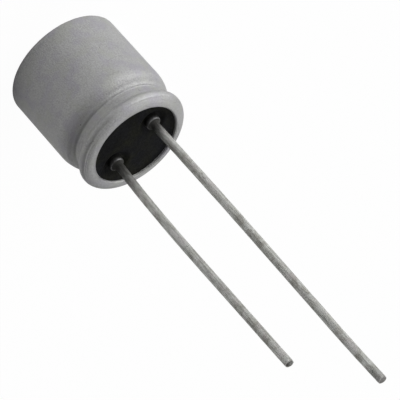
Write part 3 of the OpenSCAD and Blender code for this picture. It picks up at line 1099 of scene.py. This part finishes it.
@dataclass
class Lead:
    """One tinned lead: its weld at the foot, the slightly bent wire and its cut end.

    The scorch fades out by scorch mm above the weld, and tarnish darkens the cut end.
    """

    node: str
    cut: Cut
    bends: tuple[Point, ...]
    seed: float
    scorch: float
    tarnish: float
    wear: float = 0.01
    melt_r: float = 0.2
    bead_r: float = 0.44
    bead_h: float = 0.2
    bead_rings: int = 8
    bead_foot: float = 0.001
    bead_curve: float = 1.5
    bead_lump: float = 0.25
    bead_scale: float = 2.3
    ring_step: float = 0.1
    faces: int = 40
    lump: float = 0.007
    lump_scale: float = 1.6
    noise_up: float = 0.9
    scorch_from: float = 0.1
    scorch_lump: float = 0.3
    scorch_scale: float = 3.0
    tarnish_from: float = -1.4
    tarnish_to: float = -0.5
    tip_l: float = 2.4
    tip_rises: tuple[float, ...] = (0.3, 0.6, 0.8, 0.92, 0.98)
    cut_shares: tuple[float, ...] = (0.97, 0.9, 0.8, 0.65, 0.5, 0.35, 0.18, 0.0)
    high_side: float = 2.2
    burr: float = 0.012
    burr_to: float = 0.6
    burr_scale: float = 4.0
    edge_rise: float = 0.9
    hollow: float = 0.03
    hollow_from: float = 0.55
    hollow_to: float = 0.9
    core_from: float = 0.7
    core_to: float = 0.95
    core_side: float = 2.5
    bend_from: float = -0.1
    bend_to: float = 0.3
    sharp: float = 40.0

    def __post_init__(self) -> None:
        """Takes the lead's place and thickness from the frame."""
        low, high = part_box(self.node)
        pin = next(m for m in frame["record"]["mounts"] if m["name"] == self.node)
        self.x = pin["pos_m"][0] / MM
        self.seat_z = pin["pos_m"][2] / MM
        self.radius = pin["dims"]["r_mm"] - self.wear
        self.low_z = low.z / MM
        self.high_z = high.z / MM
        self.tip_z = self.high_z - self.tip_l * self.radius

    def centre_x(self, height: float) -> float:
        """Gives where the wire's middle stands on the X axis at a height."""
        along = height - self.seat_z
        return self.x + curve_at(self.bends, along) * smooth(self.bend_from, self.bend_to, along)

    def bearings(self, share: float) -> list[float]:
        """Gives the bearings round a ring in radians, or one for a ring that is a point."""
        return [math.tau * i / self.faces for i in range(self.faces if share > 0 else 1)]

    def noise_at(self, bearing: float, height: float) -> Vector:
        """Gives where a point of the wire lies in the noise."""
        return Vector((math.cos(bearing), math.sin(bearing), height * self.noise_up + self.seed))

    def uneven_r(self, place: Vector) -> float:
        """Gives the wire's radius at a place in the noise."""
        return self.radius + self.lump * noise.noise(place * self.lump_scale)

    def slant(self, bearing: float, share: float) -> float:
        """Gives how far below the lead's highest point its cut end lies.

        Args:
            bearing: a bearing round the wire, in radians.
            share: distance from the wire's middle, as a share of its radius.

        Returns:
            The drop in mm.
        """
        tilt = CUT_ENDS[self.cut].tilt
        drop = tilt * self.radius * (1 - share * math.cos(bearing - self.high_side))
        place = Vector((math.cos(bearing) * share * self.burr_scale,
                        math.sin(bearing) * share * self.burr_scale, self.seed))
        return drop + self.burr * (1 + noise.noise(place)) * smooth(0, self.burr_to, share)

    def build(self, weld_z: float) -> Piece:
        """Builds the lead ring by ring.

        Args:
            weld_z: height of the stem's top, where the weld bead starts.

        Returns:
            The lead.
        """
        mesh = bmesh.new()
        layers = {name: mesh.verts.layers.float.new(name) for name in (WELD, CORE)}
        heights = [weld_z - self.bead_foot]
        heights += [weld_z + self.bead_h * i / self.bead_rings for i in range(self.bead_rings + 1)]
        heights += [p[1] for p in line((0, heights[-1]), (0, self.tip_z), self.ring_step)]
        levels = [(self.low_z, 0.0), (self.low_z, self.melt_r / self.radius), *((h, 1.0) for h in heights)]
        rings = [self.ring(mesh, layers, height, share, weld_z) for height, share in levels]
        ends = [*((t, 1.0) for t in self.tip_rises), *((1.0, share) for share in self.cut_shares)]
        rings += [self.end_ring(mesh, layers, rise, share) for rise, share in ends]
        join_rings(mesh, rings)
        return make_object(mesh, self.node + "_wire", self.sharp)

    def dress(self, made: Piece) -> None:
        """Gives the lead its finish and fits it to the frame."""
        take_piece(made, self.node, WireFinish(name=self.node + "_tinned", seed=self.seed))

    def ring(self, mesh: Mesh, layers: Marks, height: float, share: float, weld_z: float) -> Ring:
        """Adds a level ring of vertices.

        Args:
            mesh: the lead's mesh.
            layers: its vertex layers by name.
            height: the ring's height.
            share: the ring's radius as a share of the wire's.
            weld_z: height of the weld bead's foot.

        Returns:
            The new vertices.
        """
        made = []
        for bearing in self.bearings(share):
            place = self.noise_at(bearing, height)
            radius = self.uneven_r(place)
            burnt_h = height - weld_z + self.scorch_lump * noise.noise(place * self.scorch_scale)
            tip = smooth(self.tarnish_from, self.tarnish_to, height - self.high_z)
            if height >= weld_z:
                rise = min(1.0, (height - weld_z) / self.bead_h)
                lump = self.bead_lump * noise.noise(place * self.bead_scale)
                radius += (self.bead_r - self.radius) * (1 + lump) * (1 - rise) ** self.bead_curve
            vertex = mesh.verts.new(spot(bearing, radius * share, height, self.centre_x(height)))
            vertex[layers[WELD]] = max(1 - smooth(self.scorch_from, self.scorch, burnt_h), self.tarnish * tip)
            made.append(vertex)
        return made

    def end_ring(self, mesh: Mesh, layers: Marks, rise: float, share: float) -> Ring:
        """Adds a ring that follows the cut end's slant.

        Args:
            mesh: the lead's mesh.
            layers: its vertex layers by name.
            rise: how far the ring is from the last level ring to the cut, 0 to 1.
            share: the ring's radius as a share of the wire's.

        Returns:
            The new vertices.
        """
        end = CUT_ENDS[self.cut]
        sunk = self.burr * (1 - rise)
        if share < 1 and self.cut is Cut.SHEARED:
            sunk = self.hollow * (1 - smooth(self.hollow_from, self.hollow_to, share))
        elif share < 1:
            sunk = self.burr * (1 - share)
        made = []
        for bearing in self.bearings(share):
            radius = self.uneven_r(self.noise_at(bearing, self.tip_z)) * share
            if rise > self.edge_rise and share == 1.0:
                radius -= self.burr
            top = self.high_z - self.slant(bearing, share) - sunk
            height = self.tip_z + (top - self.tip_z) * rise
            vertex = mesh.verts.new(spot(bearing, radius, height, self.centre_x(self.high_z)))
            dark = end.core - end.core_swing * share * math.cos(bearing - self.core_side)
            vertex[layers[CORE]] = dark * (1 - smooth(self.core_from, self.core_to, share))
            vertex[layers[WELD]] = self.tarnish
            made.append(vertex)
        return made


@dataclass
class Winding:
    """The wound element and its two tabs, which keep their CAD solids."""

    stem_top: float

    def finishes(self) -> dict[str, Finish]:
        """Gives each node's finish.

        Returns:
            The finishes by node.
        """
        return {
            "anode_foil": FoilFinish(name="etched_foil", colour=(0.42, 0.43, 0.45), roughness=0.6, pits=0.8),
            "cathode_foil": FoilFinish(),
            "inner_separator": PaperFinish(),
            "outer_separator": PaperFinish(name="separator_paper_outer"),
            "winding_tape": TapeFinish(),
            "anode_tab": TabFinish(stem_top=self.stem_top),
            "cathode_tab": TabFinish(name="tab_aluminium_cathode", dull=0.85, stem_top=self.stem_top),
        }

    def dress(self) -> None:
        """Gives each node of the winding its finish."""
        for node, finish in self.finishes().items():
            made = finish.build()
            for held in frame["nodes"][node].material_slots:
                held.material = made
            LOG.info("%s: the CAD solid, in %s", node, made.name)


@dataclass(frozen=True)
class Lamp:
    """A square soft lamp that faces the part, placed by angles in degrees and metres."""

    name: str
    azimuth: float
    elevation: float
    distance: float
    size: float
    radiance: float

    def build(self, aim: Vector) -> None:
        """Hangs the lamp.

        Args:
            aim: the point that it faces, in metres.
        """
        data = bpy.data.lights.new(self.name, "AREA")
        data.size = self.size
        data.energy = self.radiance * math.pi * self.size ** 2
        lamp = bpy.data.objects.new(self.name, data)
        azimuth = math.radians(self.azimuth)
        elevation = math.radians(self.elevation)
        away = Vector((math.sin(azimuth) * math.cos(elevation), -math.cos(azimuth) * math.cos(elevation),
                       math.sin(elevation)))
        lamp.location = aim + away * self.distance
        lamp.rotation_euler = away.to_track_quat("Z", "Y").to_euler()
        bpy.context.scene.collection.objects.link(lamp)


@dataclass
class Studio:
    """The pale floor, the soft lamps, the white surroundings and the camera.

    The camera's eye is in mm and its turn in degrees.
    """

    floor_r: float = 3.0
    floor_faces: int = 96
    floor_colour: Colour = (0.86, 0.86, 0.86)
    floor_roughness: float = 0.9
    floor_white: float = 0.97
    world_white: float = 1.0
    mirrored_white: float = 0.1
    ambient: float = 0.1
    eye: tuple[float, float, float] = (-36.032, -162.54, 110.496)
    turn: tuple[float, float, float] = (-52.1569, -35.2228, 143.5979)
    lens: float = 282.15
    sensor_w: float = 36.0
    near: float = 0.01
    lamps: tuple[Lamp, ...] = (
        Lamp("key", azimuth=-86.0, elevation=4.5, distance=0.6, size=0.85, radiance=3.45),
        Lamp("top", azimuth=-150.0, elevation=55.0, distance=0.6, size=0.6, radiance=1.6),
        Lamp("back", azimuth=140.0, elevation=40.0, distance=0.7, size=0.5, radiance=1.0),
    )

    def build(self, aim: Vector) -> None:
        """Sets up the studio.

        Args:
            aim: the part's middle, in metres.
        """
        self.build_floor()
        self.build_world()
        for lamp in self.lamps:
            lamp.build(aim)
        self.build_camera()
        bpy.context.scene.view_settings.view_transform = "Standard"

    def whiten(self, graph: Graph, seen: float, plain: Socket, white: Socket, surface: Socket) -> None:
        """Shows plain white to the camera, a little of it to mirrors, and the plain shader to the rest.

        Args:
            graph: the floor's or the world's graph.
            seen: the share of white that the camera sees.
            plain: the plain shader.
            white: the white one.
            surface: the output's socket that takes the two.
        """
        path = graph.add("LightPath").outputs
        mirrored = graph.math("MAXIMUM", path["Is Glossy Ray"], path["Is Transmission Ray"])
        share = graph.math("ADD", graph.math("MULTIPLY", path["Is Camera Ray"], seen),
                           graph.math("MULTIPLY", mirrored, self.mirrored_white), clamp=True)
        graph.feed(surface, graph.add("MixShader", {0: share, 1: plain, 2: white}).outputs[0])

    def build_floor(self) -> None:
        """Lays a round pale floor under the part."""
        mesh = bmesh.new()
        bmesh.ops.create_circle(mesh, cap_ends=True, segments=self.floor_faces, radius=self.floor_r)
        floor = make_object(mesh, "floor")
        finish = bpy.data.materials.new("studio_floor")
        finish.use_nodes = True
        graph = Graph(finish.node_tree)
        shader = finish.node_tree.nodes["Principled BSDF"]
        shader.inputs["Base Color"].default_value = (*self.floor_colour, 1.0)
        shader.inputs["Roughness"].default_value = self.floor_roughness
        shader.inputs["Specular IOR Level"].default_value = 0.0
        self.whiten(graph, self.floor_white, shader.outputs[0], graph.add("Emission").outputs[0],
                    finish.node_tree.nodes["Material Output"].inputs[0])
        floor.data.materials.append(finish)
        floor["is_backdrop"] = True

    def build_world(self) -> None:
        """Surrounds the part with white that the camera sees and softer light that falls on it."""
        world = bpy.data.worlds.new("studio")
        world.use_nodes = True
        graph = Graph(world.node_tree)
        soft = world.node_tree.nodes["Background"]
        soft.inputs["Color"].default_value = (1.0, 1.0, 1.0, 1.0)
        soft.inputs["Strength"].default_value = self.ambient
        white = graph.add("Background", {"Color": (1.0, 1.0, 1.0)})
        self.whiten(graph, self.world_white, soft.outputs[0], white.outputs[0],
                    world.node_tree.nodes["World Output"].inputs[0])
        bpy.context.scene.world = world

    def build_camera(self) -> None:
        """Sets the camera where the photograph was taken from."""
        data = bpy.data.cameras.new("camera")
        data.lens = self.lens
        data.sensor_width = self.sensor_w
        data.clip_start = self.near
        camera = bpy.data.objects.new("camera", data)
        camera.location = Vector(self.eye) * MM
        camera.rotation_euler = Euler([math.radians(a) for a in self.turn], "XYZ")
        bpy.context.scene.collection.objects.link(camera)
        bpy.context.scene.camera = camera


def main() -> None:
    """Builds and dresses each sub-assembly in order."""
    cad_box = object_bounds()
    Effects().build()
    can_low, can_high = (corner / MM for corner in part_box("can"))
    can_r = min(-can_low.x, -can_low.y, can_high.x, can_high.y)
    neck = Neck(can_r=can_r, can_h=can_high.z)
    can = Can(neck)
    can.dress(can.build())
    tab_low, tab_high = (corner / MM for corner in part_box("anode_tab"))
    stem_r = (tab_high.x - tab_low.x) / 2
    stem_x = -(tab_high.x + tab_low.x) / 2
    bung = Bung(neck, stem_x, stem_r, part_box("rubber_bung")[0].z / MM)
    bung.dress(bung.build())
    leads = (
        Lead("anode_lead", Cut.SQUARE, seed=3.0, scorch=1.8, tarnish=0.3, bends=(
            (0.0, 0.02), (6.0, 0.01), (9.0, 0.02), (13.0, 0.06), (17.0, 0.1), (20.0, 0.13), (23.5, 0.1))),
        Lead("cathode_lead", Cut.SHEARED, seed=11.0, scorch=3.0, tarnish=0.0, bends=(
            (0.0, -0.05), (2.0, 0.06), (4.0, 0.13), (7.0, 0.18), (10.0, 0.18), (13.0, 0.165), (18.3, 0.15))),
    )
    for lead in leads:
        lead.dress(lead.build(tab_high.z))
    Winding(stem_top=tab_high.z).dress()
    low, high = cad_box
    Studio().build((low + high) / 2)


if __name__ == "__main__":
    logging.basicConfig(level=logging.INFO)
    main()
